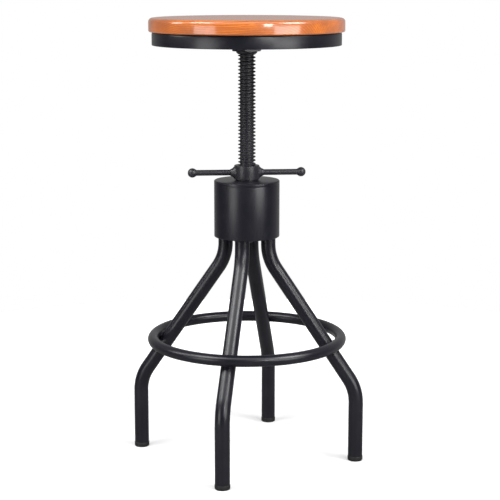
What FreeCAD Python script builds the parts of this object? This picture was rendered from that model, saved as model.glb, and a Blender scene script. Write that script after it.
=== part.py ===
import FreeCAD, Part
import math
import os

# Round machinist stool: a wooden seat on a steel pan, carried by a long trapezoidal screw that turns in the
# hub of a four-legged tube frame. A T-handled lock nut jams the screw on the hub.
# Units are millimetres. The floor is z = 0, the screw's axis is the z axis, and the front leg points to -Y.

os.makedirs("parts", exist_ok=True)

# Heights above the floor, with the seat fully raised
seat_height = 760.0
hub_top_height = 486.0
ring_height = 209.5

# Fits: a running fit turns or slides, and a fixed fit is pressed, screwed or welded
running_clearance = 0.05
fixed_clearance = 0.1
stop_clearance = 0.2
cut_overrun = 1.0

# Round wooden seat
seat_diameter = 330.0
seat_thickness = 23.0
seat_top_rounding = 6.5
seat_bottom_chamfer = 1.5

# Steel pan under the wood: a disc with a turned-down rim
pan_diameter = 319.2
pan_depth = 22.3
pan_sheet = 2.5
pan_bend_radius = 4.0

# Screw flange and its bolts
flange_diameter = 140.0
flange_thickness = 6.0
flange_bolt_count = 4
flange_bolt_circle = 104.0
flange_bolt_diameter = 8.0
flange_bolt_flats = 13.0
flange_bolt_head_height = 5.3
flange_bolt_depth_in_wood = 16.0

# Seat screw: its thread is drawn as a plain cylinder of the thread's outer diameter
screw_diameter = 30.0
screw_tip_chamfer = 2.0

# Hexagon nut at the top of the screw, and its weld bead
seat_nut_flats = 46.0
seat_nut_height = 24.0
seat_nut_turn = 34.7
nut_chamfer_height = 1.8
head_chamfer_height = 1.0
nut_chamfer_angle = math.radians(30)
bead_width = 3.2
bead_height = 6.0
bead_bulge = 3.6
bead_bulge_width = 2.5

# Stop washer and bolt at the bottom of the screw
stop_washer_diameter = 38.0
stop_washer_thickness = 4.0
stop_bolt_diameter = 12.0
stop_bolt_flats = 18.0
stop_bolt_head_height = 7.5
stop_bolt_depth = 25.0

# Lock nut with its two arms
lock_washer_diameter = 38.0
lock_washer_thickness = 1.5
lock_nut_diameter = 43.0
lock_nut_height = 24.0
lock_nut_chamfer = 1.0
handle_above_nut_bottom = 11.5
boss_root_inset = 1.5
boss_reach = 28.5
boss_end_radius = 5.9
boss_hollow_radius = 30.0
handle_turn = 17.0
handle_diameter = 10.0
arm_to_bore_wall = 1.5
handle_tip_chamfer = 1.0
ball_diameter = 16.0
ball_reach = 93.0
ball_neck_radius = 5.9
ball_end_radius = 2.4
ball_bore_past_centre = 1.0

# Hub: a pipe between two plates round the threaded bush
hub_height = 97.0
hub_wall = 4.0
hub_top_chamfer = 2.0
hub_plate_thickness = 6.0
bush_wall = 6.0
bush_to_leg_gap = 3.95
leg_to_shell_gap = 2.0

# Legs: tubes that leave the hub upright, splay outwards and end upright
leg_diameter = 25.0
leg_wall = 2.0
leg_straight_below_hub = 13.0
leg_splay = 34.5
leg_bend_radius = 75.0
leg_foot_circle = 385.0

# Foot ring, welded to the outside of the legs: it closes on itself, so it is drawn solid
ring_diameter = 19.0

# Foot caps
cap_floor = 8.0
cap_overhang = 0.5
cap_foot_chamfer = 2.0
cap_plug_length = 20.0
cap_tip_taper = 1.5

# Heights that follow from the sizes above
wood_bottom = seat_height - seat_thickness
pan_bottom = wood_bottom - pan_depth
flange_top = wood_bottom - pan_sheet
flange_bottom = flange_top - flange_thickness
seat_nut_bottom = flange_bottom - seat_nut_height
hub_bottom = hub_top_height - hub_height
hub_plate_underside = hub_top_height - hub_plate_thickness
lock_nut_bottom = hub_top_height + lock_washer_thickness
handle_height = lock_nut_bottom + handle_above_nut_bottom
stop_washer_top = hub_bottom - stop_clearance
screw_bottom = stop_washer_top + fixed_clearance

# Radii of the hub, from the screw outwards
screw_radius = screw_diameter / 2
bush_radius = screw_radius + running_clearance + bush_wall
leg_radius = leg_diameter / 2
leg_top_radius = bush_radius + bush_to_leg_gap + leg_radius
shell_inner_radius = leg_top_radius + leg_radius + leg_to_shell_gap
hub_radius = shell_inner_radius + hub_wall

# Path of a leg, in the upright plane through the screw's axis
leg_foot_radius = leg_foot_circle / 2
splay = math.radians(leg_splay)
bend_tangent = leg_bend_radius * math.tan(splay / 2)
upper_corner_height = hub_bottom - leg_straight_below_hub - bend_tangent
lower_corner_height = upper_corner_height - (leg_foot_radius - leg_top_radius) / math.tan(splay)

# The ring touches the sloping part of each leg from outside
ring_tube_radius = ring_diameter / 2
leg_radius_at_ring = leg_top_radius + (upper_corner_height - ring_height) * math.tan(splay)
ring_to_leg = leg_radius + ring_tube_radius + fixed_clearance
ring_radius = leg_radius_at_ring + ring_to_leg / math.cos(splay)

UP = FreeCAD.Vector(0, 0, 1)
OUT = FreeCAD.Vector(1, 0, 0)
ORIGIN = FreeCAD.Vector(0, 0, 0)
LEG_TURNS = {"front": -90.0, "right": 0.0, "back": 90.0, "left": 180.0}


def in_plane(radius, height):
    """A point of the upright plane through the axis, where profiles and leg paths are drawn."""
    return FreeCAD.Vector(radius, 0, height)


def rounded_path(corners, closed):
    """Edges through the corners (radius, height, rounding), with a tangent arc at each rounded corner."""
    points = [in_plane(corner[0], corner[1]) for corner in corners]
    count = len(points)
    entries = []
    exits = []
    arcs = []
    for index in range(count):
        here = points[index]
        rounding = corners[index][2]
        if rounding == 0 or (not closed and index in (0, count - 1)):
            entries.append(here)
            exits.append(here)
            arcs.append(None)
            continue
        to_last = (points[index - 1] - here).normalize()
        to_next = (points[(index + 1) % count] - here).normalize()
        half_angle = to_last.getAngle(to_next) / 2
        entry = here + to_last * (rounding / math.tan(half_angle))
        leave = here + to_next * (rounding / math.tan(half_angle))
        inward = (to_last + to_next).normalize()
        middle = here + inward * (rounding / math.sin(half_angle) - rounding)
        entries.append(entry)
        exits.append(leave)
        arcs.append(Part.Arc(entry, middle, leave).toShape())
    edges = []
    for index in range(count if closed else count - 1):
        following = (index + 1) % count
        if arcs[index]:
            edges.append(arcs[index])
        if exits[index].distanceToPoint(entries[following]) > 1e-6:
            edges.append(Part.LineSegment(exits[index], entries[following]).toShape())
    return Part.Wire(edges)


def turned(corners):
    """A solid of revolution about the z axis, from a closed profile of (radius, height, rounding) corners."""
    return Part.Face(rounded_path(corners, True)).revolve(ORIGIN, UP, 360)


def ring_plate(outer, inner, bottom, top):
    """A flat ring, such as a washer or a short pipe."""
    disc = Part.makeCylinder(outer, top - bottom, in_plane(0, bottom))
    return disc.cut(Part.makeCylinder(inner, top - bottom, in_plane(0, bottom)))


def chamfered_ring(outer, inner, bottom, top, low_chamfer, high_chamfer):
    """A ring whose outer edges are chamfered."""
    corners = [(inner, bottom, 0), (outer - low_chamfer, bottom, 0)]
    if low_chamfer:
        corners.append((outer, bottom + low_chamfer, 0))
    corners.append((outer, top - high_chamfer, 0))
    if high_chamfer:
        corners.append((outer - high_chamfer, top, 0))
    corners.append((inner, top, 0))
    return turned(corners)


def hexagon(flats, bottom, top, turn):
    """A hexagonal bar, turned about its axis so that one corner lies at the given angle."""
    corner_radius = flats / math.sqrt(3)
    angles = [math.radians(turn + 60 * side) for side in range(7)]
    corners = [FreeCAD.Vector(corner_radius * math.cos(a), corner_radius * math.sin(a), bottom) for a in angles]
    return Part.Face(Part.makePolygon(corners)).extrude(UP * (top - bottom))


def chamfered_hexagon(flats, bottom, top, turn, chamfer_height):
    """A hexagonal head or nut, with its lower corners turned off."""
    corner_radius = flats / math.sqrt(3)
    lower_radius = corner_radius - chamfer_height / math.tan(nut_chamfer_angle)
    envelope = turned([
        (0, bottom, 0),
        (lower_radius, bottom, 0),
        (corner_radius, bottom + chamfer_height, 0),
        (corner_radius, top, 0),
        (0, top, 0),
    ])
    return hexagon(flats, bottom, top, turn).common(envelope)


def around(shape, count, circle, first_turn=0.0):
    """Copies of a shape, spaced evenly round a circle of the given diameter."""
    copies = []
    for index in range(count):
        copy = shape.copy()
        copy.translate(OUT * (circle / 2))
        copy.rotate(ORIGIN, UP, first_turn + 360.0 / count * index)
        copies.append(copy)
    return copies


def turned_about_axis(shape, angle):
    """A copy of a shape, turned about the screw's axis."""
    copy = shape.copy()
    copy.rotate(ORIGIN, UP, angle)
    return copy


def save(name, solids):
    """Write one node, as one solid or as a group of separate solids."""
    shape = Part.makeCompound(solids) if len(solids) > 1 else solids[0]
    for solid in shape.Solids:
        if not solid.isValid() or solid.Volume <= 0:
            raise ValueError(name + " holds a solid that is not valid")
    shape.exportStep("parts/" + name + ".step")
    print(name, len(shape.Solids), "solids,", round(shape.Volume), "mm3")


def flange_bolt():
    """Hexagon-headed wood bolt, up through flange and pan into the wood."""
    head_bottom = flange_bottom - flange_bolt_head_height
    head = chamfered_hexagon(flange_bolt_flats, head_bottom, flange_bottom, 0, head_chamfer_height)
    length = flange_thickness + pan_sheet + flange_bolt_depth_in_wood
    shank = Part.makeCylinder(flange_bolt_diameter / 2, length, in_plane(0, flange_bottom))
    return head.fuse(shank)


def flange_bolt_hole(top):
    """Hole for a flange bolt, from below the flange up to the given height."""
    radius = flange_bolt_diameter / 2 + fixed_clearance
    return Part.makeCylinder(radius, top - pan_bottom, in_plane(0, pan_bottom))


def make_wooden_seat():
    """The round wooden seat, rounded at the top edge, with blind holes for the flange bolts."""
    radius = seat_diameter / 2
    disc = turned([
        (0, wood_bottom, 0),
        (radius - seat_bottom_chamfer, wood_bottom, 0),
        (radius, wood_bottom + seat_bottom_chamfer, 0),
        (radius, seat_height, seat_top_rounding),
        (0, seat_height, 0),
    ])
    bolt_hole = flange_bolt_hole(wood_bottom + flange_bolt_depth_in_wood + fixed_clearance)
    save("wooden_seat", disc.cut(around(bolt_hole, flange_bolt_count, flange_bolt_circle)).Solids)


def make_seat_pan():
    """The pan: a disc under the wood, bent down at its edge into a rim."""
    radius = pan_diameter / 2
    inner = radius - pan_sheet
    pan = turned([
        (0, flange_top, 0),
        (inner, flange_top, 0),
        (inner, pan_bottom, 0),
        (radius, pan_bottom, 0),
        (radius, wood_bottom, pan_bend_radius),
        (0, wood_bottom, 0),
    ])
    holes = around(flange_bolt_hole(wood_bottom), flange_bolt_count, flange_bolt_circle)
    save("seat_pan", pan.cut(holes).Solids)


def make_screw_flange():
    """The flange at the screw's top, with the bolts that hold it, the pan and the wood together."""
    flange = ring_plate(flange_diameter / 2, screw_radius + fixed_clearance, flange_bottom, flange_top)
    holes = around(flange_bolt_hole(flange_top), flange_bolt_count, flange_bolt_circle)
    save("screw_flange", flange.cut(holes).Solids)
    save("flange_bolts", around(flange_bolt(), flange_bolt_count, flange_bolt_circle))


def make_seat_nut():
    """The hexagon nut under the flange, and the bead that welds it to the screw."""
    bore = Part.makeCylinder(screw_radius + fixed_clearance, seat_nut_height, in_plane(0, seat_nut_bottom))
    nut = chamfered_hexagon(seat_nut_flats, seat_nut_bottom, flange_bottom, seat_nut_turn, nut_chamfer_height)
    save("seat_nut", nut.cut(bore).Solids)
    bead_inner = screw_radius + fixed_clearance
    save("seat_nut_weld", [turned([
        (bead_inner, seat_nut_bottom - bead_height, 0),
        (bead_inner + bead_bulge_width, seat_nut_bottom - bead_bulge, 0),
        (bead_inner + bead_width, seat_nut_bottom, 0),
        (bead_inner, seat_nut_bottom, 0),
    ])])


def make_seat_screw():
    """The screw, from the stop washer up to the pan, with a blind hole for the stop bolt."""
    screw = turned([
        (0, screw_bottom, 0),
        (screw_radius - screw_tip_chamfer, screw_bottom, 0),
        (screw_radius, screw_bottom + screw_tip_chamfer, 0),
        (screw_radius, flange_top, 0),
        (0, flange_top, 0),
    ])
    bolt_radius = stop_bolt_diameter / 2
    hole_depth = stop_bolt_depth + fixed_clearance
    hole = Part.makeCylinder(bolt_radius + fixed_clearance, hole_depth, in_plane(0, screw_bottom))
    save("seat_screw", [screw.cut(hole)])
    washer_bottom = stop_washer_top - stop_washer_thickness
    washer_bore = bolt_radius + 2 * fixed_clearance
    washer = ring_plate(stop_washer_diameter / 2, washer_bore, washer_bottom, stop_washer_top)
    save("stop_washer", [washer])
    head_top = washer_bottom - fixed_clearance
    head_bottom = head_top - stop_bolt_head_height
    head = chamfered_hexagon(stop_bolt_flats, head_bottom, head_top, 0, head_chamfer_height)
    shank_top = screw_bottom + stop_bolt_depth
    shank = Part.makeCylinder(bolt_radius, shank_top - head_top, in_plane(0, head_top))
    save("stop_bolt", [head.fuse(shank)])


def lying_along_x(corners):
    """A solid of revolution about the handle's axis, from (distance along X, radius, rounding) corners."""
    upright = turned([(radius, reach, rounding) for reach, radius, rounding in corners])
    upright.rotate(ORIGIN, FreeCAD.Vector(0, 1, 0), 90)
    upright.translate(UP * handle_height)
    return upright


def lock_nut_boss():
    """A boss of the lock nut: it flares in a hollow curve from the rod to the nut's body."""
    nut_radius = lock_nut_diameter / 2
    root_radius = handle_above_nut_bottom - lock_nut_chamfer
    root = (nut_radius - boss_root_inset, root_radius)
    tip = (boss_reach, boss_end_radius)
    chord = math.dist(root, tip)
    along = ((tip[0] - root[0]) / chord, (tip[1] - root[1]) / chord)
    sag = boss_hollow_radius - math.sqrt(boss_hollow_radius ** 2 - (chord / 2) ** 2)
    middle = (
        (root[0] + tip[0]) / 2 + along[1] * sag,
        (root[1] + tip[1]) / 2 - along[0] * sag,
    )
    first = FreeCAD.Vector(root[1], 0, root[0])
    last = FreeCAD.Vector(tip[1], 0, tip[0])
    flare = Part.Arc(first, FreeCAD.Vector(middle[1], 0, middle[0]), last).toShape()
    outline = [last, FreeCAD.Vector(0, 0, boss_reach), ORIGIN, FreeCAD.Vector(root[1], 0, 0), first]
    sides = [Part.LineSegment(outline[i], outline[i + 1]).toShape() for i in range(len(outline) - 1)]
    boss = Part.Face(Part.Wire([flare] + sides)).revolve(ORIGIN, UP, 360)
    boss.rotate(ORIGIN, FreeCAD.Vector(0, 1, 0), 90)
    boss.translate(UP * handle_height)
    return boss


def make_lock():
    """The lock nut on its washer, with an arm and a ball on each side."""
    washer = ring_plate(
        lock_washer_diameter / 2, screw_radius + running_clearance, hub_top_height, lock_nut_bottom
    )
    save("lock_washer", [washer])
    lock_nut_top = lock_nut_bottom + lock_nut_height
    body = chamfered_ring(
        lock_nut_diameter / 2, 0, lock_nut_bottom, lock_nut_top, lock_nut_chamfer, lock_nut_chamfer
    )
    arm_start = screw_radius + running_clearance + arm_to_bore_wall
    rod_hole = lying_along_x([
        (arm_start - fixed_clearance, 0, 0),
        (arm_start - fixed_clearance, handle_diameter / 2 + fixed_clearance, 0),
        (boss_reach + cut_overrun, handle_diameter / 2 + fixed_clearance, 0),
        (boss_reach + cut_overrun, 0, 0),
    ])
    for turn in (0, 180):
        body = body.fuse(turned_about_axis(lock_nut_boss(), turn))
    for turn in (0, 180):
        body = body.cut(turned_about_axis(rod_hole, turn))
    bore = Part.makeCylinder(
        screw_radius + running_clearance, lock_nut_height, in_plane(0, lock_nut_bottom)
    )
    body = body.cut(bore).removeSplitter()
    save("lock_nut", [turned_about_axis(body, handle_turn).Solids[0]])
    arm_end = ball_reach + ball_bore_past_centre
    rod_radius = handle_diameter / 2
    arm = lying_along_x([
        (arm_start, 0, 0),
        (arm_start, rod_radius - handle_tip_chamfer, 0),
        (arm_start + handle_tip_chamfer, rod_radius, 0),
        (arm_end, rod_radius, 0),
        (arm_end, 0, 0),
    ])
    ball_radius = ball_diameter / 2
    neck = ball_reach - math.sqrt(ball_radius ** 2 - ball_neck_radius ** 2)
    end = ball_reach + math.sqrt(ball_radius ** 2 - ball_end_radius ** 2)
    ball = Part.makeSphere(ball_radius, FreeCAD.Vector(ball_reach, 0, handle_height))
    span = Part.makeBox(
        end - neck, ball_diameter, ball_diameter,
        FreeCAD.Vector(neck, -ball_radius, handle_height - ball_radius)
    )
    socket = lying_along_x([
        (neck - cut_overrun, 0, 0),
        (neck - cut_overrun, rod_radius + fixed_clearance, 0),
        (arm_end + fixed_clearance, rod_radius + fixed_clearance, 0),
        (arm_end + fixed_clearance, 0, 0),
    ])
    ball = ball.common(span).cut(socket)
    for side, turn in (("right", handle_turn), ("left", handle_turn + 180)):
        save("handle_arm_" + side, [turned_about_axis(arm, turn)])
        save("handle_ball_" + side, [turned_about_axis(ball, turn).Solids[0]])


def make_hub():
    """The hub: a pipe, a plate on top, a plate in its lower end and the threaded bush."""
    save("hub_shell", [ring_plate(hub_radius, shell_inner_radius, hub_bottom, hub_plate_underside)])
    bush_hole = bush_radius + fixed_clearance
    top_plate = chamfered_ring(
        hub_radius, bush_hole, hub_plate_underside, hub_top_height, 0, hub_top_chamfer
    )
    save("hub_top_plate", [top_plate])
    plate_radius = shell_inner_radius - fixed_clearance
    bottom_plate = ring_plate(plate_radius, bush_hole, hub_bottom, hub_bottom + hub_plate_thickness)
    leg_hole = Part.makeCylinder(leg_radius + fixed_clearance, hub_plate_thickness, in_plane(0, hub_bottom))
    bottom_plate = bottom_plate.cut(around(leg_hole, len(LEG_TURNS), 2 * leg_top_radius))
    save("hub_bottom_plate", bottom_plate.Solids)
    bush = ring_plate(bush_radius, screw_radius + running_clearance, hub_bottom, hub_top_height)
    save("thread_bush", [bush])


def leg_path(start_height, end_height):
    """Centre line of a leg in the plane of +X, from the hub down to the foot."""
    return rounded_path([
        (leg_top_radius, start_height, 0),
        (leg_top_radius, upper_corner_height, leg_bend_radius),
        (leg_foot_radius, lower_corner_height, leg_bend_radius),
        (leg_foot_radius, end_height, 0),
    ], False)


def swept_bar(radius):
    """A round bar along the leg's centre line, from the hub's top plate to the foot cap."""
    path = leg_path(hub_plate_underside, cap_floor)
    circle = Part.Circle(in_plane(leg_top_radius, hub_plate_underside), UP, radius).toShape()
    return path.makePipeShell([Part.Wire([circle])], True, False)


def make_legs():
    """Four bent tubes, one for each direction, with their foot caps."""
    tube = swept_bar(leg_radius).cut(swept_bar(leg_radius - leg_wall))
    for name, turn in LEG_TURNS.items():
        save("leg_" + name, [turned_about_axis(tube, turn).Solids[0]])
        save("foot_cap_" + name, [turned_about_axis(foot_cap(), turn)])


def foot_cap():
    """A plug-in cap: a foot with a chamfered lower edge, and a plug that fits the tube's bore."""
    foot = leg_radius + cap_overhang
    plug = leg_radius - leg_wall - fixed_clearance
    plug_top = cap_floor + cap_plug_length
    cap = turned([
        (0, 0, 0),
        (foot - cap_foot_chamfer, 0, 0),
        (foot, cap_foot_chamfer, 0),
        (foot, cap_floor, 0),
        (plug, cap_floor, 0),
        (plug, plug_top - cap_tip_taper, 0),
        (plug - cap_tip_taper, plug_top, 0),
        (0, plug_top, 0),
    ])
    cap.translate(OUT * leg_foot_radius)
    return cap


def make_foot_ring():
    """The foot ring, which the legs touch from inside."""
    save("foot_ring", [Part.makeTorus(ring_radius, ring_tube_radius, in_plane(0, ring_height), UP)])


make_wooden_seat()
make_seat_pan()
make_screw_flange()
make_seat_nut()
make_seat_screw()
make_lock()
make_hub()
make_legs()
make_foot_ring()
print("hub diameter", round(2 * hub_radius, 2), "ring centre line diameter", round(2 * ring_radius, 2))
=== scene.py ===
# %% [markdown]
# # Machinist stool
# The stool has a lacquered wooden seat in a steel pan, a long screw with a trapezoidal thread, a lock nut with
# two ball-ended arms, a drum-shaped hub and four bent tube legs with a welded foot ring.
# The frame holds the measured solids. The visible surfaces are made again here, finer than the solids, from
# numpy grids, and each one keeps the place of the solid that it stands for. Lengths are in metres.

# %% Load the frame
import math

import bmesh
import bpy
import numpy as np
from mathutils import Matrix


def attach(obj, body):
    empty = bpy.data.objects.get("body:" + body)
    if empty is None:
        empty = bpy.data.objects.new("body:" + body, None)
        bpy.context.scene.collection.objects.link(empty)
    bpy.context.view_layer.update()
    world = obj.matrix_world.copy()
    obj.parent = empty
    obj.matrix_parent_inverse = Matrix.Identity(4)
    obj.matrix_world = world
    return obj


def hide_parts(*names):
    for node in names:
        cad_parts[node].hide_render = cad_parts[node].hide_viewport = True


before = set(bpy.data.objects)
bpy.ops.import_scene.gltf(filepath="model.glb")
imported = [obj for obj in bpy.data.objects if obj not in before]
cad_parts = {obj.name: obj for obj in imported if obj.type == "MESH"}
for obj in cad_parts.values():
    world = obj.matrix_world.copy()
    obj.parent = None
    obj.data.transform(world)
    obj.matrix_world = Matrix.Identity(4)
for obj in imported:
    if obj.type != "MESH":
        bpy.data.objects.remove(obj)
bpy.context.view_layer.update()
MM = 0.001
SAME_POINT, NO_LENGTH = 0.004 * MM, 0.002 * MM

# %% [markdown]
# ## Turning many points into one mesh
# Each shape below is a grid of points: rows run along the shape and columns run round it. Neighbouring points
# are joined into four-sided faces. A shape could also be started from a primitive and pushed about with
# modifiers, but a grid says exactly where each point lies, which a part with real dimensions needs.

# %% Grids and pieces
def skin(points, rows_closed=False, start_tip=None, end_tip=None):
    """Faces over a grid of rows by columns of points. Point (r, c) is joined to (r, c+1), (r+1, c+1) and
    (r+1, c), and the last column to the first. A tip is one point that closes an end with triangles."""
    rows, columns = points.shape[:2]
    number = np.arange(rows * columns).reshape(rows, columns)
    beside = np.roll(number, -1, axis=1)
    if rows_closed:
        here, below = number, np.roll(number, -1, axis=0)
        here_beside, below_beside = beside, np.roll(beside, -1, axis=0)
    else:
        here, below = number[:-1], number[1:]
        here_beside, below_beside = beside[:-1], beside[1:]
    quads = np.stack([here, here_beside, below_beside, below], axis=-1).reshape(-1, 4).tolist()
    flat = points.reshape(-1, 3)
    triangles = []
    for tip, row in ((start_tip, 0), (end_tip, -1)):
        if tip is not None:
            top = np.full(columns, len(flat))
            flat = np.vstack([flat, tip])
            triangles += np.stack([top, number[row], beside[row]], axis=-1).tolist()
    return flat, quads + triangles


def piece(name, skins, body, finish, stands_for=(), sharp=32):
    """One object from several skins. Doubled points are merged, the faces are turned outwards, and edges
    sharper than the given angle in degrees stay crisp."""
    points, faces, count = [], [], 0
    for skin_points, skin_faces in skins:
        points.append(skin_points)
        faces += [[index + count for index in face] for face in skin_faces]
        count += len(skin_points)
    mesh = bpy.data.meshes.new(name)
    mesh.from_pydata(np.vstack(points).tolist(), [], faces)
    shaped = bmesh.new()
    shaped.from_mesh(mesh)
    bmesh.ops.remove_doubles(shaped, verts=shaped.verts, dist=SAME_POINT)
    bmesh.ops.dissolve_degenerate(shaped, edges=shaped.edges, dist=NO_LENGTH)
    bmesh.ops.recalc_face_normals(shaped, faces=shaped.faces)
    shaped.to_mesh(mesh)
    shaped.free()
    mesh.shade_smooth()
    mesh.set_sharp_from_angle(angle=math.radians(sharp))
    mesh.materials.append(finish)
    made = bpy.data.objects.new(name, mesh)
    bpy.context.scene.collection.objects.link(made)
    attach(made, body)
    if stands_for:
        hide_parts(*stands_for)
    print(name, "faces:", len(mesh.polygons))


print("faces over a grid of 4 rows by 5 columns:", len(skin(np.zeros((4, 5, 3)))[1]))

# %% [markdown]
# ## Outlines with rounded corners
# Real edges are never perfectly sharp: they catch a thin line of light, as the rim of the hub does in the
# photograph. So each outline is drawn as a few corners, and each corner has its own radius. The same function
# also bends the legs, because a bent tube follows straight runs joined by arcs.

# %% Rounded outline
def rounded(corners, steps=6):
    """Points along a line of corners (across, up, radius). At each corner the line turns on an arc: the arc
    starts and ends where its circle touches the two runs, and its points come from turning the first radius
    arm evenly into the last."""
    corners = np.array(corners, float)
    spots, radii = corners[:, :2], corners[:, 2]
    back = np.roll(spots, 1, axis=0) - spots
    ahead = np.roll(spots, -1, axis=0) - spots
    back /= np.linalg.norm(back, axis=1)[:, None]
    ahead /= np.linalg.norm(ahead, axis=1)[:, None]
    half = np.arccos(np.clip((back * ahead).sum(1), -1, 1)) / 2
    radii[[0, -1]] = 0
    reach = radii / np.tan(half)
    inward = (back + ahead) / np.maximum(np.linalg.norm(back + ahead, axis=1), 1e-9)[:, None]
    centre = spots + inward * (radii / np.sin(half))[:, None]
    first = spots + back * reach[:, None] - centre
    last = spots + ahead * reach[:, None] - centre
    turn = np.maximum(np.pi - 2 * half, 1e-6)[:, None]
    share = np.linspace(0, 1, steps)[None, :]
    leaving = np.sin((1 - share) * turn)[..., None] * first[:, None]
    arriving = np.sin(share * turn)[..., None] * last[:, None]
    line = (centre[:, None] + (leaving + arriving) / np.sin(turn)[..., None]).reshape(-1, 2)
    moved_on = np.linalg.norm(np.diff(line, axis=0), axis=1) > 1e-7
    return line[np.r_[True, moved_on]]


def revolved(outline, sides=128, closed=False, centre=(0.0, 0.0)):
    """The outline (radius, height), in millimetres, carried round the vertical line through centre:
    each point becomes (radius cos a, radius sin a, height) for the angles a of a full turn."""
    line = rounded(outline)
    angle = np.linspace(0, 2 * np.pi, sides, endpoint=False)
    across = np.stack([np.cos(angle), np.sin(angle)], axis=-1)
    ring = line[:, None, :1] * across[None] + np.array(centre)
    height = np.broadcast_to(line[:, None, 1:], ring[..., :1].shape)
    return skin(np.concatenate([ring, height], axis=-1) * MM, rows_closed=closed)


eased = rounded([(0, 0, 0), (10, 0, 2), (10, 10, 2), (0, 10, 0)])
print("points on an outline with two eased corners:", len(eased))

# %% [markdown]
# ## Tubes and beads carried along a line
# A tube, a ring and a weld bead are all a circle carried along a line. Blender's curves can do this with a
# bevel depth, but a weld's ripples need a size of their own at every step, and a tube's inner wall has to join
# the outer one at both ends. So the circles are computed here too.

# %% Carried circle
def circles(path, radius, upright, sides, path_closed=False):
    """A circle at each point of a path in millimetres, square to the path: its points are the path's point
    plus radius times (cos a along a side direction + sin a along a lift direction), where the side is square
    to the path and to `upright`. radius may hold one value for each point."""
    path = np.asarray(path, float)
    if path_closed:
        ahead = np.roll(path, -1, axis=0) - np.roll(path, 1, axis=0)
    else:
        ahead = np.gradient(path, axis=0)
    ahead /= np.linalg.norm(ahead, axis=1)[:, None]
    side = np.cross(ahead, np.broadcast_to(upright, path.shape))
    side /= np.linalg.norm(side, axis=1)[:, None]
    lift = np.cross(side, ahead)
    radius = np.broadcast_to(np.asarray(radius, float), (len(path),))
    angle = np.linspace(0, 2 * np.pi, sides, endpoint=False)[None, :, None]
    around = np.cos(angle) * side[:, None] + np.sin(angle) * lift[:, None]
    return path[:, None] + radius[:, None, None] * around


def carried(path, radius, upright, sides=40, path_closed=False):
    """The skin over the circles along a path. An open path is closed by a tip at each end."""
    points = circles(path, radius, upright, sides, path_closed) * MM
    ends = (None, None) if path_closed else (path[0] * MM, path[-1] * MM)
    return skin(points, rows_closed=path_closed, start_tip=ends[0], end_tip=ends[1])


def weld_ripples(count, spacing, waver, seed):
    """Radius factors along a weld bead: each ripple rises quickly and falls away slowly, like overlapping
    coins, and a slow random waver is added. spacing is the number of points in one ripple."""
    steps = np.arange(count)
    saw = (steps % spacing) / spacing
    random = np.random.default_rng(seed)
    knots = random.normal(0, waver, max(4, count // 9))
    slow = np.interp(np.linspace(0, len(knots) - 1, count), np.arange(len(knots)), knots)
    return 1 + 0.10 * np.sin(np.pi * saw ** 0.6) + slow


ripples = weld_ripples(60, 8, 0.05, 1)
print("a bead's size wavers from", round(ripples.min(), 2), "to", round(ripples.max(), 2))

# %% [markdown]
# ## Finishes made of nodes
# A finish is a small network: coordinates go into noises, the noises go into colour, roughness and a bump, and
# these go into the Principled shader. Object coordinates are metres on the real part, so a noise of scale 900
# has grains of about one millimetre wherever the piece lies. An image would be quicker to look up, but it would
# need unwrapping and would blur close up.

# %% Node helpers
def new_finish(name):
    """A material with an empty network that holds only the Principled shader and the output."""
    finish = bpy.data.materials.new(name)
    finish.use_nodes = True
    tree = finish.node_tree
    tree.nodes.clear()
    shader = tree.nodes.new("ShaderNodeBsdfPrincipled")
    output = tree.nodes.new("ShaderNodeOutputMaterial")
    tree.links.new(shader.outputs[0], output.inputs["Surface"])
    return finish, tree, shader


def feed(tree, target, values):
    """Sets each named input of a node: a socket is linked to it, and anything else is its constant."""
    for key, value in values.items():
        if isinstance(value, bpy.types.NodeSocket):
            tree.links.new(value, target.inputs[key])
        else:
            target.inputs[key].default_value = value


def add(tree, kind, values=None, **settings):
    """A new node with its settings and inputs."""
    made = tree.nodes.new("ShaderNode" + kind)
    for key, value in settings.items():
        setattr(made, key, value)
    feed(tree, made, values or {})
    return made


print("materials before the first finish:", len(bpy.data.materials))

# %% [markdown]
# ## Steps that the finishes share
# Most finishes need the same few steps: places on the part, a noise, a range carried onto another, a mix of two
# colours and a bump. They could be written out each time. With a helper for each, a finish is short, and the
# numbers that make it different stand out.

# %% Noises, ranges and mixes
def surface_points(tree, stretch=(1, 1, 1), turn=(0, 0, 0), shift=(0, 0, 0)):
    """Object coordinates, shifted, turned (degrees) and stretched."""
    place = add(tree, "TexCoord").outputs["Object"]
    angles = tuple(math.radians(a) for a in turn)
    values = {"Vector": place, "Location": shift, "Rotation": angles, "Scale": stretch}
    return add(tree, "Mapping", values).outputs[0]


def noise(tree, points, scale, detail=2.0, roughness=0.5):
    """Soft random grey from 0 to 1; scale is the number of grains in a metre."""
    values = {"Vector": points, "Scale": scale, "Detail": detail, "Roughness": roughness}
    return add(tree, "TexNoise", values).outputs["Fac"]


def spread(tree, value, low, high, out_low, out_high):
    """Carries the range low to high of a value evenly onto out_low to out_high, and stops at its ends."""
    values = {0: value, 1: low, 2: high, 3: out_low, 4: out_high}
    return add(tree, "MapRange", values, clamp=True).outputs[0]


def between(tree, share, first, second):
    """A colour that goes from the first to the second as share goes from 0 to 1."""
    values = {0: share, 6: first, 7: second}
    return add(tree, "Mix", values, data_type="RGBA").outputs[2]


def total(tree, first, second, operation="ADD"):
    """Two values added, multiplied or otherwise joined."""
    return add(tree, "Math", {0: first, 1: second}, operation=operation).outputs[0]


def bump(tree, height, depth):
    """Bends the light as if the surface rose and fell by depth metres."""
    return add(tree, "Bump", {"Height": height, "Distance": depth, "Strength": 1.0}).outputs[0]


print("a noise of scale 850 has grains of about", round(1000 / 850, 1), "mm")

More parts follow.
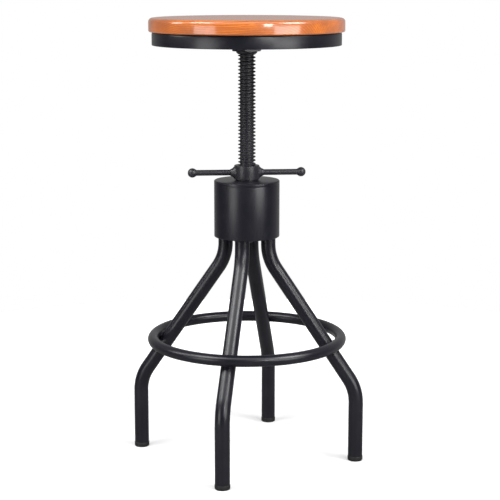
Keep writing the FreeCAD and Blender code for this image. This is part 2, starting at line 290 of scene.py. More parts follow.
# %% [markdown]
# ## Powder coat
# The frame is steel under a satin black powder coat. Baked powder flows into a skin with a faint orange peel,
# grains of about a millimetre and a few hundredths of a millimetre high. It is a plastic film, so it is a
# dielectric and not a metal. Its gloss varies a little where the layer is thicker, and the black has a trace
# of blue. The lock, the thread and the foot caps get the same network with other numbers: a little greyer and
# duller.

# %% Powder coat and its relatives
def powder_coat(name, dark, light, smooth, rough, peel_depth):
    """Orange peel from one noise, a fine grain from another, and slow noises for gloss and colour."""
    finish, tree, shader = new_finish(name)
    points = surface_points(tree)
    peel = noise(tree, points, 850, 2)
    grain = noise(tree, points, 3600, 1)
    height = total(tree, peel, total(tree, grain, 0.25, "MULTIPLY"))
    cloud = noise(tree, points, 22, 3)
    feed(tree, shader, {
        "Base Color": between(tree, spread(tree, cloud, 0.3, 0.7, 0, 1), dark, light),
        "Roughness": spread(tree, total(tree, cloud, peel, "MULTIPLY"), 0.15, 0.4, smooth, rough),
        "Specular IOR Level": 0.6,
        "Normal": bump(tree, height, peel_depth),
    })
    return finish


satin_black = powder_coat("powder_coat", (0.0045, 0.0045, 0.0090, 1), (0.0075, 0.0075, 0.0125, 1),
                          smooth=0.285, rough=0.36, peel_depth=0.03 * MM)
lock_black = powder_coat("lock_black", (0.0126, 0.0126, 0.0170, 1), (0.0198, 0.0198, 0.0255, 1),
                         smooth=0.34, rough=0.44, peel_depth=0.02 * MM)
thread_black = powder_coat("blackened_thread", (0.0126, 0.0126, 0.0170, 1), (0.0216, 0.0216, 0.0276, 1),
                           smooth=0.42, rough=0.52, peel_depth=0.02 * MM)
cap_plastic = powder_coat("cap_plastic", (0.007, 0.007, 0.007, 1), (0.010, 0.010, 0.010, 1),
                          smooth=0.48, rough=0.58, peel_depth=0.08 * MM)
print("black finishes:", [finish.name for finish in (satin_black, lock_black, thread_black, cap_plastic)])

# %% [markdown]
# ## Zinc-plated steel
# The four bolts under the seat are zinc plated. Zinc is a metal, so its colour is in the reflection. Turning
# leaves fine rings round the axis, which a wave texture in rings about Z draws, and plating leaves a soft,
# uneven gloss.

# %% Metals
def turned_steel(name, colour, worn, smooth, rough, rings):
    """Rings round the z axis at `rings` lines a metre, under a cloudy change of colour and gloss."""
    finish, tree, shader = new_finish(name)
    points = surface_points(tree)
    cloud = noise(tree, points, 140, 4)
    lines = add(tree, "TexWave", {"Vector": points, "Scale": rings / 20, "Distortion": 0.4, "Detail": 1.0},
                wave_type="RINGS", rings_direction="Z").outputs["Fac"]
    feed(tree, shader, {
        "Base Color": between(tree, cloud, colour, worn),
        "Metallic": 1.0,
        "Roughness": spread(tree, cloud, 0.3, 0.7, smooth, rough),
        "Normal": bump(tree, total(tree, lines, cloud), 0.01 * MM),
    })
    return finish


zinc = turned_steel("fastener_steel", (0.62, 0.62, 0.60, 1), (0.48, 0.48, 0.47, 1),
                    smooth=0.26, rough=0.40, rings=6000)
print("metal finish:", zinc.name)

# %% [markdown]
# ## Lacquered wood
# The seat is a solid hardwood disc, stained orange-brown under a clear glossy lacquer. Wood is a stack of cones
# round the pith, so the grain is drawn in space: rings about a line that runs beside the seat, nearly along X.
# The front edge then shows long level streaks, the sides show the ends of the rings, and the top shows pointed
# arches, all from one pattern. A flat picture of grain couldn't turn these corners. Stain soaks in unevenly, so
# broad bands along the grain are darker. The lacquer is the shader's coat, so its reflection stays white over
# the coloured wood.

# %% Seat wood
def lacquered_wood():
    """Rings round a tilted line give the growth rings. The line is bent by a slow noise. Fibres, pores and the
    darker bands of stain are noises stretched along the grain: fortyfold, thirtyfold and about tenfold."""
    pale, middling, dark = (0.72, 0.222, 0.040, 1), (0.54, 0.136, 0.019, 1), (0.31, 0.068, 0.011, 1)
    stained, pore = (0.310, 0.086, 0.029, 1), (0.20, 0.05, 0.018, 1)
    finish, tree, shader = new_finish("seat_wood")
    along = surface_points(tree, turn=(0, 1.2, 1.6), shift=(0, 0.150, -0.706))
    slow = surface_points(tree, stretch=(3.5, 16, 16))
    wander = add(tree, "TexNoise", {"Vector": slow, "Scale": 1.0, "Detail": 2.0}).outputs["Color"]
    centred = add(tree, "VectorMath", {0: wander, 1: (0.5, 0.5, 0.5)}, operation="SUBTRACT").outputs[0]
    pushed = add(tree, "VectorMath", {0: centred, "Scale": 0.006}, operation="SCALE").outputs[0]
    bent = add(tree, "VectorMath", {0: along, 1: pushed}, operation="ADD").outputs[0]
    rings = add(tree, "TexWave", {"Vector": bent, "Scale": 90.0, "Distortion": 0.0},
                wave_type="RINGS", rings_direction="X", wave_profile="SAW").outputs["Fac"]
    fibres = noise(tree, surface_points(tree, stretch=(12, 480, 480)), 1.0, 5, 0.65)
    pores = noise(tree, surface_points(tree, stretch=(55, 1700, 1700)), 1.0, 2)
    bands = noise(tree, surface_points(tree, stretch=(5, 34, 60)), 1.0, 3)
    grain = total(tree, total(tree, rings, 0.34, "MULTIPLY"), total(tree, fibres, 0.72, "MULTIPLY"))
    ramp = add(tree, "ValToRGB", {"Fac": grain})
    stops = ramp.color_ramp.elements
    stops[0].position, stops[0].color = 0.24, pale
    stops[1].position, stops[1].color = 0.86, dark
    stops.new(0.55).color = middling
    toned = between(tree, spread(tree, bands, 0.38, 0.64, 0.0, 0.62), ramp.outputs[0], stained)
    pored = between(tree, spread(tree, pores, 0.63, 0.72, 0.0, 0.55), toned, pore)
    height = total(tree, fibres, spread(tree, pores, 0.60, 0.74, 0.0, -0.8))
    feed(tree, shader, {
        "Base Color": pored,
        "Roughness": spread(tree, fibres, 0.3, 0.7, 0.34, 0.46),
        "Specular IOR Level": 0.3,
        "Coat Weight": 1.0,
        "Coat Roughness": 0.13,
        "Coat IOR": 1.7,
        "Normal": bump(tree, height, 0.06 * MM),
    })
    return finish


seat_wood = lacquered_wood()
print("finishes:", len(bpy.data.materials))

# %% [markdown]
# ## The wooden seat
# One thick disc, 330 mm across and 23 mm thick. The top edge has a generous round-over and the lower edge a
# small chamfer whose own corners are eased. A disc is the simplest surface of revolution: one outline from the
# centre of the underside, round the edge, to the centre of the top.

# %% Seat
seat_top, wood_bottom, seat_radius = 760.0, 737.0, 165.0
round_over, lower_chamfer, eased_edge = 6.5, 1.5, 0.5
seat_outline = [(0, wood_bottom, 0), (80, wood_bottom, 0),
                (seat_radius - lower_chamfer, wood_bottom, eased_edge),
                (seat_radius, wood_bottom + lower_chamfer, eased_edge),
                (seat_radius, seat_top, round_over), (120, seat_top, 0), (0, seat_top, 0)]
piece("wooden_seat_disc", [revolved(seat_outline, 256)], "seat", seat_wood, ["wooden_seat"],
      sharp=50)

# %% [markdown]
# ## The seat pan
# The wood lies in a pan of 2.5 mm sheet, pressed down at the edge into a deep rim. A pressed edge has an inner
# and an outer bend radius and a slightly eased lip. The outline goes once round the sheet's section.

# %% Pan
pan_radius, pan_bottom, sheet = 159.6, 714.7, 2.5
outer_bend, inner_bend = 4.0, 1.5
pan_outline = [(0, wood_bottom, 0), (60, wood_bottom, 0), (pan_radius, wood_bottom, outer_bend),
               (pan_radius, pan_bottom, 0.9), (pan_radius - sheet, pan_bottom, 0.6),
               (pan_radius - sheet, wood_bottom - sheet, inner_bend),
               (60, wood_bottom - sheet, 0), (0, wood_bottom - sheet, 0)]
piece("pressed_seat_pan", [revolved(pan_outline, 256)], "seat", satin_black, ["seat_pan"])

# %% [markdown]
# ## Flange, bolts and nut under the seat
# A round flange takes the screw's push, four bolts go up through it into the wood, and a large hexagon nut
# is welded to the screw below it. A hexagon's flat lies at a fixed distance from the axis, so its radius at
# an angle is that distance divided by the cosine of the angle from the middle of the flat. A turned chamfer
# is a cone. The smaller of the two radii at each point gives the curved corners of a real nut.

# %% Hexagons
def hexagon(flats, bore, rows, turn, centre=(0.0, 0.0), chamfer=1.2):
    """A hexagonal ring between the first and last of its rows of heights, with its lower corners turned off
    at 30 degrees from the flat face. Columns run round it, and rows go up the outside and down the bore."""
    columns = np.arange(0, 360, 2.5) + turn
    angle = np.radians(columns)
    across = flats / 2 / np.cos(np.radians((columns - turn) % 60 - 30))
    cone = flats / math.sqrt(3) + (np.array(rows) - rows[0] - chamfer) / math.tan(math.radians(30))
    outer = np.minimum(across[None, :], cone[:, None])
    inner = np.full((2, len(columns)), float(bore))
    radius = np.vstack([outer, inner])
    height = np.r_[rows, rows[-1], rows[0]][:, None] + 0 * radius
    points = np.stack([radius * np.cos(angle) + centre[0], radius * np.sin(angle) + centre[1], height], axis=-1)
    return skin(points * MM, rows_closed=True)


flange_top, flange_bottom, flange_radius, screw_hole = wood_bottom - sheet, 728.5, 70, 15.1
flange_outline = [(screw_hole, flange_bottom, 0), (flange_radius, flange_bottom, 0.8),
                  (flange_radius, flange_top, 0.8), (screw_hole, flange_top, 0)]
piece("round_flange", [revolved(flange_outline, 128, closed=True)], "seat", satin_black,
      ["screw_flange"])

bolts = []
bolt_circle_radius, bolt_flats = 52, 13
head_rows = np.r_[np.linspace(723.2, 724.2, 6), 728.45]
for turn in (0, 90, 180, 270):
    bearing = math.radians(turn)
    spot = (bolt_circle_radius * math.cos(bearing), bolt_circle_radius * math.sin(bearing))
    bolts.append(hexagon(bolt_flats, 3.0, head_rows, turn, spot, chamfer=1.0))
    bolts.append(revolved([(0, 723.5, 0), (5.2, 723.5, 0.2), (5.2, 723.9, 0), (0, 723.9, 0)], 40, centre=spot))
    bolts.append(revolved([(0, 728.0, 0), (4.0, 728.0, 0), (4.0, 752.0, 1.0), (0, 753.0, 0)], 24, centre=spot))
piece("flange_bolt_set", bolts, "seat", zinc, ["flange_bolts"])

nut_flats, nut_underside, nut_turn = 46, 704.5, 34.7
nut_rows = np.r_[np.linspace(nut_underside, nut_underside + 1.8, 8), np.linspace(710, flange_bottom, 4)]
piece("large_hexagon_nut", [hexagon(nut_flats, screw_hole, nut_rows, nut_turn)], "seat",
      satin_black, ["seat_nut"], sharp=24)

# %% [markdown]
# ## The weld under the nut
# A hand weld is a row of overlapping puddles. A smooth fillet would look cast, so the bead is a circle carried
# round the screw whose size ripples and wavers. Two beads, a wide one and a narrow one below it, make the step
# down from the nut to the screw.

# %% Nut weld
def ring_bead(middle_radius, height, size, seed, centre=(0.0, 0.0), count=320, spacing=8, waver=0.05, sides=14):
    """A rippled bead round a vertical line: the path is a level circle, and its points' radii ripple."""
    angle = np.linspace(0, 2 * np.pi, count, endpoint=False)
    path = np.stack([centre[0] + middle_radius * np.cos(angle), centre[1] + middle_radius * np.sin(angle),
                     np.full(count, float(height))], axis=-1)
    ripple = size * weld_ripples(count, spacing, waver, seed)
    return carried(path, ripple, (0, 0, 1), sides=sides, path_closed=True)


wide_bead = ring_bead(middle_radius=15.2, height=703.4, size=2.5, seed=3)
narrow_bead = ring_bead(middle_radius=14.2, height=701.4, size=1.9, seed=8)
piece("nut_weld_bead", [wide_bead, narrow_bead], "seat", satin_black, ["seat_nut_weld"],
      sharp=60)

# %% [markdown]
# ## The long screw
# The screw has a right-hand trapezoidal thread, 30 mm over the crests with a lead of 6 mm. The thread is one
# outline, repeated up the axis, whose height also rises by one lead for each turn of angle. The grid follows
# the helix, so every crest edge is a clean line, and the last column meets the first one pitch higher.

# %% Thread
def threaded_rod(bottom, top, crest, root, lead, phase, columns=72):
    """Point (row, column) has the angle a of its column and the height phase + lead * (turn + a / full turn)
    plus its place on the tooth; its radius is the tooth's. Heights stop at the ends, where the tooth fades
    into the core over half a lead."""
    tooth = np.array([(-0.40, crest), (0.40, crest), (0.60, crest - 0.25), (1.80, root + 0.1), (2.00, root),
                      (4.00, root), (4.20, root + 0.1), (5.40, crest - 0.25)])
    turns = np.arange(math.floor((bottom - phase) / lead) - 2, math.ceil((top - phase) / lead) + 2)
    height = phase + (turns[:, None] * lead + tooth[None, :, 0]).reshape(-1)
    radius = np.tile(tooth[:, 1], len(turns))
    share = np.arange(columns + 1) / columns
    heights = np.clip(height[:, None] + lead * share[None, :], bottom, top)
    fade = np.clip(np.minimum(heights - bottom, top - heights) / (lead / 2), 0, 1)
    radii = root + (radius[:, None] - root) * fade
    angle = 2 * np.pi * share
    points = np.stack([radii * np.cos(angle), radii * np.sin(angle), heights], axis=-1) * MM
    rows = len(points)
    number = np.arange(rows * (columns + 1)).reshape(rows, columns + 1)
    quads = np.stack([number[:-1, :-1], number[:-1, 1:], number[1:, 1:], number[1:, :-1]], axis=-1)
    flat = np.vstack([points.reshape(-1, 3), [[0, 0, bottom * MM], [0, 0, top * MM]]])
    ends = [np.stack([np.full(columns, len(flat) - 2 + end), number[row, :-1], number[row, 1:]], axis=-1)
            for end, row in ((0, 0), (1, -1))]
    return flat, quads.reshape(-1, 4).tolist() + ends[0].tolist() + ends[1].tolist()


thread = threaded_rod(bottom=388.9, top=734.4, crest=15.0, root=11.6, lead=6.0, phase=3.8)
piece("long_threaded_screw", [thread], "seat", thread_black, ["seat_screw"], sharp=20)

# %% [markdown]
# ## Stop washer and stop bolt
# A washer and a bolt in the screw's lower end keep the screw from leaving the hub. The washer rises with the
# screw but doesn't turn, so it rides on a body of its own.

# %% Stop
washer_radius, washer_bore, washer_bottom, washer_top = 19, 6.2, 384.8, 388.8
washer_outline = [(washer_bore, washer_bottom, 0.3), (washer_radius, washer_bottom, 0.6),
                  (washer_radius, washer_top, 0.6), (washer_bore, washer_top, 0.3)]
piece("stop_washer_disc", [revolved(washer_outline, 72, closed=True)], "stop", lock_black,
      ["stop_washer"])

stop_flats = 18
stop_rows = np.r_[np.linspace(377.2, 378.2, 6), 384.65]
stop_face = revolved([(0, 377.5, 0), (7.4, 377.5, 0.3), (7.4, 378.0, 0), (0, 378.0, 0)], 48)
stop_shank = revolved([(0, 384.0, 0), (5.9, 384.0, 0), (5.9, 412.5, 1.2), (0, 413.7, 0)], 32)
stop_head = hexagon(stop_flats, 5.0, stop_rows, 12, chamfer=1.0)
piece("stop_bolt_with_head", [stop_head, stop_face, stop_shank], "seat", lock_black,
      ["stop_bolt"])

# %% [markdown]
# ## The hub
# The hub is a pipe with a plate welded on top and ground flush, so only a hair line shows where they meet. The
# top plate's edge is turned off and eased, and this narrow round is what shines along the rim in the
# photograph. The bush and the lower plate show from below, between the legs.

# %% Hub drum, plates and bush
hub_top, hub_bottom, hub_radius, pipe_bore = 486.0, 389.0, 56.0, 52
lid_underside, lid_chamfer, hair_line, lid_eased = 480, 1.2, 0.02, 0.5
bush_bore, bush_radius, bush_hole = 15.05, 21.05, 21.15
pipe_top, bush_top = lid_underside - hair_line, hub_top - 0.05

shell_outline = [(pipe_bore, hub_bottom, 0.5), (hub_radius, hub_bottom, 0.9),
                 (hub_radius, pipe_top, 0.12), (pipe_bore, pipe_top, 0)]
piece("hub_drum", [revolved(shell_outline, 192, closed=True)], "frame", satin_black,
      ["hub_shell"])

lid_outline = [(bush_hole, lid_underside, 0), (hub_radius, lid_underside, 0.12),
               (hub_radius, hub_top - lid_chamfer, lid_eased), (hub_radius - lid_chamfer, hub_top, lid_eased),
               (bush_hole, hub_top, 0.3)]
piece("hub_lid", [revolved(lid_outline, 192, closed=True)], "frame", satin_black,
      ["hub_top_plate"])

bush_outline = [(bush_bore, hub_bottom, 0.5), (bush_radius, hub_bottom, 0.4),
                (bush_radius, bush_top, 0.4), (bush_bore, bush_top, 0.5)]
piece("turned_bush", [revolved(bush_outline, 96, closed=True)], "frame", satin_black,
      ["thread_bush"])

plate_radius, plate_top = pipe_bore - 0.1, 395
plate_outline = [(bush_hole, hub_bottom, 0.3), (plate_radius, hub_bottom, 0.3),
                 (plate_radius, plate_top, 0), (bush_hole, plate_top, 0)]
piece("hub_floor", [revolved(plate_outline, 128, closed=True)], "frame", satin_black,
      ["hub_bottom_plate"])

# %% [markdown]
# ## The lock nut
# The nut is a short round casting with two bosses that flare out of its sides and end at the arms. Each boss
# is a surface of revolution about the arm. Its first row doesn't lie at a fixed distance: each of its points
# is pulled in or out until it lies on the round body, so the boss grows out of the body in a soft saddle.

# %% Lock nut
handle_height, handle_turn = 499.0, math.radians(17)
nut_radius, nut_bottom, nut_top, nut_bore = 21.5, 487.5, 511.5, 15.05


def about_handle(line, sides, side, start_on_body=None):
    """The outline (distance along the arm, radius) carried round the arm's axis, then turned to the arm's
    direction. With start_on_body, a point at distance d is moved to d + (s - d0) * (1 - its share of the way),
    where s = sqrt(body radius squared - (radius * cos a) squared) is where that line meets the round body."""
    angle = np.linspace(0, 2 * np.pi, sides, endpoint=False)
    reach = np.repeat(line[:, :1], sides, axis=1)
    across = line[:, 1:] * np.cos(angle)
    up = line[:, 1:] * np.sin(angle)
    if start_on_body is not None:
        share = (line[:, 0] - line[0, 0]) / (line[-1, 0] - line[0, 0])
        meeting = np.sqrt(np.maximum(start_on_body ** 2 - across[0] ** 2, 0))
        reach = reach + (meeting - line[0, 0])[None, :] * np.clip(1 - share[:, None], 0, 1)
    turn = handle_turn + (0 if side > 0 else math.pi)
    east = reach * math.cos(turn) - across * math.sin(turn)
    north = reach * math.sin(turn) + across * math.cos(turn)
    return np.stack([east, north, up + handle_height], axis=-1) * MM


def boss(side):
    """Outline of a boss: it starts on the body, and its radius falls from the root's to the tip's with the
    distance still to go to the power 1.5, which is a hollow curve. A flat end round the arm closes it."""
    root, tip, root_radius, tip_radius, arm_hole = 20.6, 28.2, 10.9, 5.9, 5.02
    along = np.linspace(0, 1, 16)
    radius = tip_radius + (root_radius - tip_radius) * (1 - along) ** 1.5
    flare = np.stack([root + along * (tip - root), radius], axis=-1)
    outline = np.vstack([flare, [(28.5, 5.6), (28.5, arm_hole), (24.0, arm_hole)]])
    return skin(about_handle(outline, 64, side, start_on_body=nut_radius - 0.2))


nut_outline = [(nut_bore, nut_bottom, 0.3), (nut_radius, nut_bottom, 1.2), (nut_radius, nut_top, 1.0),
               (nut_bore, nut_top, 0.8)]
piece("lock_nut_casting", [revolved(nut_outline, 128, closed=True), boss(1), boss(-1)], "lock",
      lock_black, ["lock_nut"])

rim_radius, rim_bore = 19, 15.1
washer_rim = [(rim_bore, hub_top, 0), (rim_radius, hub_top, 0.2), (rim_radius, nut_bottom, 0.2),
              (rim_bore, nut_bottom, 0)]
piece("thin_lock_washer", [revolved(washer_rim, 72, closed=True)], "lock_ring", lock_black,
      ["lock_washer"])

# %% [markdown]
# ## The arms and their balls
# Each arm is a round rod pressed into its boss, and a turned ball closes its outer end. The ball has a short
# hollow neck where it meets the rod and a small flat where it was parted off. Both are one outline turned
# about the arm's axis.

# %% Arms and balls
rod_line = np.array([(16.6, 0), (16.6, 4.4), (17.2, 5.0), (40, 5.0), (60, 4.95), (82, 5.0), (94, 5.0), (94, 0)])
ball_reach, ball_radius = 93, 8
polar = np.radians(np.linspace(133, 17.5, 40))
round_part = np.stack([ball_reach + ball_radius * np.cos(polar), ball_radius * np.sin(polar)], axis=-1)
neck = [(86.2, 5.05), (86.4, 5.45), (86.9, 5.75)]
parted_off = [(100.66, 2.1), (100.66, 0)]
ball_line = np.vstack([neck, round_part[1:], parted_off])
for side, word in ((1, "right"), (-1, "left")):
    piece("arm_rod_" + word, [skin(about_handle(rod_line, 48, side))], "lock", lock_black,
          ["handle_arm_" + word])
    piece("arm_ball_" + word, [skin(about_handle(ball_line, 64, side))], "lock", lock_black,
          ["handle_ball_" + word], sharp=40)

# %% [markdown]
# ## The bent legs
# Each leg leaves the hub upright, splays outwards and ends upright, bent from one 25 mm tube on a 75 mm radius.
# The centre line is a line with two rounded corners, and the bends get 36 circles each so that their highlights
# run smoothly. A tube has a wall, so an inner skin follows the same line back up.

# %% Legs
leg_radius, leg_wall, bend_radius, top_reach, foot_reach = 12.5, 2.0, 75.0, 37.5, 192.5
leg_corners = [(top_reach, 480.0, 0), (top_reach, 352.7, bend_radius), (foot_reach, 127.2, bend_radius),
               (foot_reach, 8.0, 0)]
leg_line = rounded(leg_corners, steps=36)
leg_directions = {"front": -90, "right": 0, "back": 90, "left": 180}


def turned_to(points, degrees):
    """Points turned about the screw's axis: (x cos a - y sin a, x sin a + y cos a, z)."""
    a = math.radians(degrees)
    spin = np.array([[math.cos(a), math.sin(a), 0], [-math.sin(a), math.cos(a), 0], [0, 0, 1]])
    return points @ spin


def leg_tube(sides=56):
    """The circles of the outer wall down the leg, then those of the inner wall back up."""
    path = np.stack([leg_line[:, 0], np.zeros(len(leg_line)), leg_line[:, 1]], axis=-1)
    down = circles(path, leg_radius, (0, 1, 0), sides)
    up = circles(path, leg_radius - leg_wall, (0, 1, 0), sides)
    return np.concatenate([down, up[::-1]]) * MM


tube = leg_tube()
for word, degrees in leg_directions.items():
    piece("bent_leg_" + word, [skin(turned_to(tube, degrees), rows_closed=True)], "frame",
          satin_black, ["leg_" + word], sharp=40)

# %% [markdown]
# ## The foot ring
# The ring is one round bar bent to a circle. The legs touch it from inside. Its ends meet in a weld that is
# ground nearly flush: there the bar is thicker by a sixth of a millimetre, on a bell curve of the distance.

# %% Foot ring
ring_radius, ring_height, bar_radius, joint_bearing = 162.743, 209.5, 9.5, math.radians(140)
angle = np.linspace(0, 2 * np.pi, 288, endpoint=False)
level = np.full(len(angle), ring_height)
ring_path = np.stack([ring_radius * np.cos(angle), ring_radius * np.sin(angle), level], axis=-1)
from_joint = np.abs((angle - joint_bearing + np.pi) % (2 * np.pi) - np.pi) * ring_radius
ring_size = bar_radius + 0.16 * np.exp(-(from_joint / 3.0) ** 2)
ring_skin = carried(ring_path, ring_size, (0, 0, 1), sides=48, path_closed=True)
piece("round_foot_ring", [ring_skin], "frame", satin_black, ["foot_ring"], sharp=60)

# %% [markdown]
# ## The welds of the frame
# Where the ring touches a leg, a short bead lies in the crevice above the touching point and another below it.
# Where a leg enters the hub, a bead runs round it. They are carried circles again, thin at their ends.

# %% Frame welds
splay = math.radians(34.5)
down_leg = np.array([math.sin(splay), 0, -math.cos(splay)])
out_of_leg = np.array([math.cos(splay), 0, math.sin(splay)])
leg_to_ring = leg_radius + bar_radius + 0.1
leg_axis = np.array([ring_radius, 0, ring_height]) - leg_to_ring * out_of_leg


def crevice_bead(side, seed):
    """A bead along Y in the crevice between leg and ring, on the side of +1 (below) or -1 (above). Its ends
    curl away from the leg as the leg's round side falls back, and its size follows a half sine."""
    half_length, off_axis, off_middle = 9.0, 13.4, 5.6
    step = np.linspace(-1, 1, 41)
    away = leg_radius * (1 - np.sqrt(1 - (0.62 * step) ** 2)) * 0.5
    middle = leg_axis + off_axis * out_of_leg + side * off_middle * down_leg
    path = middle[None, :] - away[:, None] * out_of_leg
    path[:, 1] = half_length * step
    size = (0.5 + 2.3 * np.cos(step * np.pi / 2) ** 0.6) * weld_ripples(len(step), 5, 0.03, seed)
    return carried(path, size, tuple(out_of_leg), sides=16)


for word, degrees in leg_directions.items():
    beads = [crevice_bead(1, degrees + 400), crevice_bead(-1, degrees + 500)]
    beads = [(turned_to(points, degrees), faces) for points, faces in beads]
    leg_top = turned_to(np.array([[top_reach, 0, 0]]), degrees)[0, :2]
    beads.append(ring_bead(leg_radius + 0.4, hub_bottom - 0.4, 2.1, degrees + 600, leg_top,
                           count=208, spacing=7, waver=0.04, sides=12))
    piece("frame_weld_" + word, beads, "frame", satin_black, sharp=70)

# %% [markdown]
# ## The foot caps
# A plastic plug closes each tube. Its visible foot is a little wider than the tube, with an eased lower edge,
# a thin shadow line under the tube's end and shallow grip rings on the sole. One outline turned about the
# tube's own axis makes it.

# %% Foot caps
sole = [(0, 0.4, 0), (3.0, 0.4, 0), (3.4, 0, 0), (6.0, 0, 0), (6.4, 0.4, 0), (7.6, 0.4, 0), (8.0, 0, 0)]
foot = [(12.1, 0, 1.0), (12.95, 1.6, 1.2), (12.98, 7.3, 0.5), (12.3, 7.9, 0.2)]
plug = [(10.4, 7.9, 0), (10.4, 26.5, 0.4), (8.9, 28, 0.4), (0, 28, 0)]
for word, degrees in leg_directions.items():
    spot = turned_to(np.array([[foot_reach, 0, 0]]), degrees)[0, :2]
    piece("plastic_foot_cap_" + word, [revolved(sole + foot + plug, 72, centre=spot)], "frame",
          cap_plastic, ["foot_cap_" + word])

# %% [markdown]
# ## White background
# The stool stands before a white background. A white wall could be modelled, but it would need an even light of
# its own. Light Path's camera ray makes the world white for the camera instead. Glossy and transmission rays
# see it too, so polished parts show where the backdrop stands, but more dimly, and most of it behind the stool:
# the room on the camera's side is dark, and that keeps black paint black. All other rays find a plain weak light
# all round.

# %% Background
def rays(tree):
    """Two switches of 0 or 1: a ray straight from the camera, and one that comes through a mirror or glass."""
    ray = add(tree, "LightPath").outputs
    return ray["Is Camera Ray"], total(tree, ray["Is Glossy Ray"], ray["Is Transmission Ray"], "MAXIMUM")


def seen_white(tree, in_mirrors, as_light):
    """1 for rays from the camera, in_mirrors for mirror rays, and as_light, a fill light, for all others."""
    camera_ray, mirror_ray = rays(tree)
    mixed = total(tree, total(tree, in_mirrors, as_light, "SUBTRACT"), mirror_ray, "MULTIPLY")
    return total(tree, total(tree, mixed, as_light), camera_ray, "MAXIMUM")


world = bpy.data.worlds.new("white_studio")
bpy.context.scene.world = world
world.use_nodes = True
sky = world.node_tree
background = next(n for n in sky.nodes if n.type == "BACKGROUND")
background.inputs["Color"].default_value = (1, 1, 1, 1)
direction = add(sky, "SeparateXYZ", {0: add(sky, "TexCoord").outputs["Generated"]}).outputs
behind = spread(sky, direction["Y"], 0.1, 0.95, 0.03, 0.42)
fill_light = 0.45
sky.links.new(seen_white(sky, behind, fill_light), background.inputs["Strength"])
print("background:", world.name, "with a fill light of", fill_light)

# %% [markdown]
# ## White floor
# The floor is a plain white disc. A lit white plane would show a grey edge against the background. So the disc
# also glows for the camera, more and more towards its rim, and no edge shows. Its own lit surface keeps the
# faint shadows at the feet. From below it is clear, so the underside can be looked at.

# %% Floor
floor_finish = bpy.data.materials.new("white_floor")
floor_finish.use_nodes = True
floor_tree = floor_finish.node_tree
floor_tree.nodes.clear()
camera_ray, mirror_ray = rays(floor_tree)
floor_colour = between(floor_tree, mirror_ray, (0.8, 0.8, 0.8, 1), (0.15, 0.15, 0.15, 1))
matt = add(floor_tree, "BsdfDiffuse", {"Color": floor_colour})
spot = add(floor_tree, "TexCoord").outputs["Object"]
from_stool = add(floor_tree, "VectorMath", {0: spot}, operation="LENGTH").outputs["Value"]
whitening = spread(floor_tree, from_stool, 0.35, 1.15, 0.17, 1.0)
rear = spread(floor_tree, add(floor_tree, "SeparateXYZ", {0: spot}).outputs["Y"], 0.0, 1.0, 0.0, 0.3)
floor_glow = total(floor_tree, total(floor_tree, whitening, camera_ray, "MULTIPLY"),
                   total(floor_tree, rear, mirror_ray, "MULTIPLY"))
glow = add(floor_tree, "Emission", {"Color": (1, 1, 1, 1), "Strength": floor_glow})
both = add(floor_tree, "AddShader", {0: matt.outputs[0], 1: glow.outputs[0]})
from_below = add(floor_tree, "NewGeometry").outputs["Backfacing"]
clear = add(floor_tree, "BsdfTransparent")
one_sided = add(floor_tree, "MixShader", {0: from_below, 1: both.outputs[0], 2: clear.outputs[0]})
end = floor_tree.nodes.new("ShaderNodeOutputMaterial")
floor_tree.links.new(one_sided.outputs[0], end.inputs["Surface"])

floor_radius = 1.25
rim = np.linspace(0, 2 * np.pi, 96, endpoint=False)
floor_rim = np.stack([floor_radius * np.cos(rim), floor_radius * np.sin(rim), 0 * rim], axis=-1)
floor_mesh = bpy.data.meshes.new("floor")
floor_mesh.from_pydata(floor_rim.tolist(), [], [list(range(len(rim)))])
floor_mesh.materials.append(floor_finish)
floor = bpy.data.objects.new("floor", floor_mesh)
bpy.context.scene.collection.objects.link(floor)
print("floor radius:", floor_radius, "m")

# %% [markdown]
# ## Camera
# The photograph was taken with a long lens from 2.5 m away, a little above the seat. The camera's place, tilt
# and focal length come from fitting the outlines of the seat, the hub, the ring and the feet.

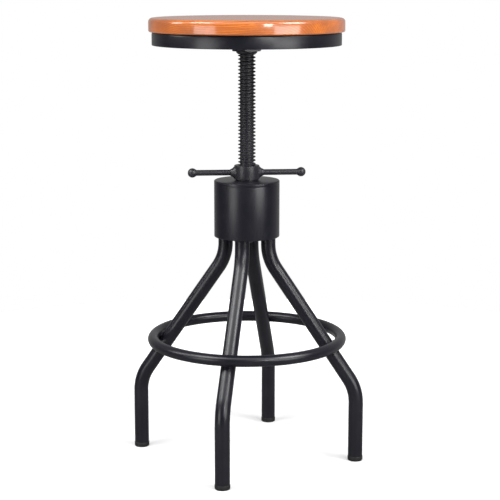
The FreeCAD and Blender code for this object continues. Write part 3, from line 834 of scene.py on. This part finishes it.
# %% Camera
lens = bpy.data.cameras.new("photo_camera")
lens.lens, lens.sensor_width = 106.32, 36.0
camera = bpy.data.objects.new("photo_camera", lens)
camera.location = (0.5233, -2.4466, 0.8336)
camera.rotation_euler = tuple(math.radians(a) for a in (79.371, 0, 11.949))
bpy.context.scene.collection.objects.link(camera)
bpy.context.scene.camera = camera
bpy.context.scene.view_settings.view_transform = "Standard"
print("camera:", [round(v, 2) for v in camera.location], "lens", round(lens.lens), "mm")

# %% [markdown]
# ## Lamps
# Two soft boxes stand left and right of the camera, about 47 degrees off its line. They leave the two pale
# bands on the seat's edge, the pan and the hub. They end a little above the seat's height, or its top would
# mirror them as a white glare when it is seen from behind. A sloping tube mirrors another place, so there are
# boxes high on the left and the right for the front leg, a narrow one for the right leg and one at the side for
# the left leg. A wide weak one above the camera draws the line along the seat's rounded edge.

# %% Lamps
camera_bearing = -90 + 12.1
aim = np.array((0, 0, 0.45))


def soft_box(name, degrees_from_camera, distance, height, size, brightness):
    """A rectangular lamp at an angle round the stool, measured from the camera's direction, facing aim. Its
    power is its brightness times pi times its area, so its mirror image keeps that brightness at any size."""
    lamp = bpy.data.lights.new(name, "AREA")
    lamp.shape, lamp.size, lamp.size_y = "RECTANGLE", size[0], size[1]
    lamp.energy = brightness * math.pi * size[0] * size[1]
    box = bpy.data.objects.new(name, lamp)
    bearing = math.radians(camera_bearing + degrees_from_camera)
    place = np.array([distance * math.cos(bearing), distance * math.sin(bearing), height])
    facing = place - aim
    facing /= np.linalg.norm(facing)
    box.location = place
    box.rotation_euler = (math.acos(facing[2]), 0, math.atan2(facing[1], facing[0]) + math.pi / 2)
    bpy.context.scene.collection.objects.link(box)
    print(name, "power:", round(lamp.energy, 1), "W")


soft_box("left_soft_box", -48, 2.2, 0.46, (1.0, 0.92), 3.0)
soft_box("right_soft_box", 46, 2.2, 0.59, (1.2, 0.66), 4.7)
soft_box("leg_strip_box", 24, 2.2, 1.25, (0.35, 0.7), 16)
soft_box("side_box", -88, 2.2, 1.5, (0.6, 0.9), 6)
soft_box("high_left_box", -60, 1.9, 2.4, (1.2, 1.2), 8.5)
soft_box("high_right_box", 60, 2.0, 2.1, (1.1, 1.1), 11.5)
soft_box("wide_high_box", 0, 1.5, 2.7, (2.6, 0.7), 3.0)
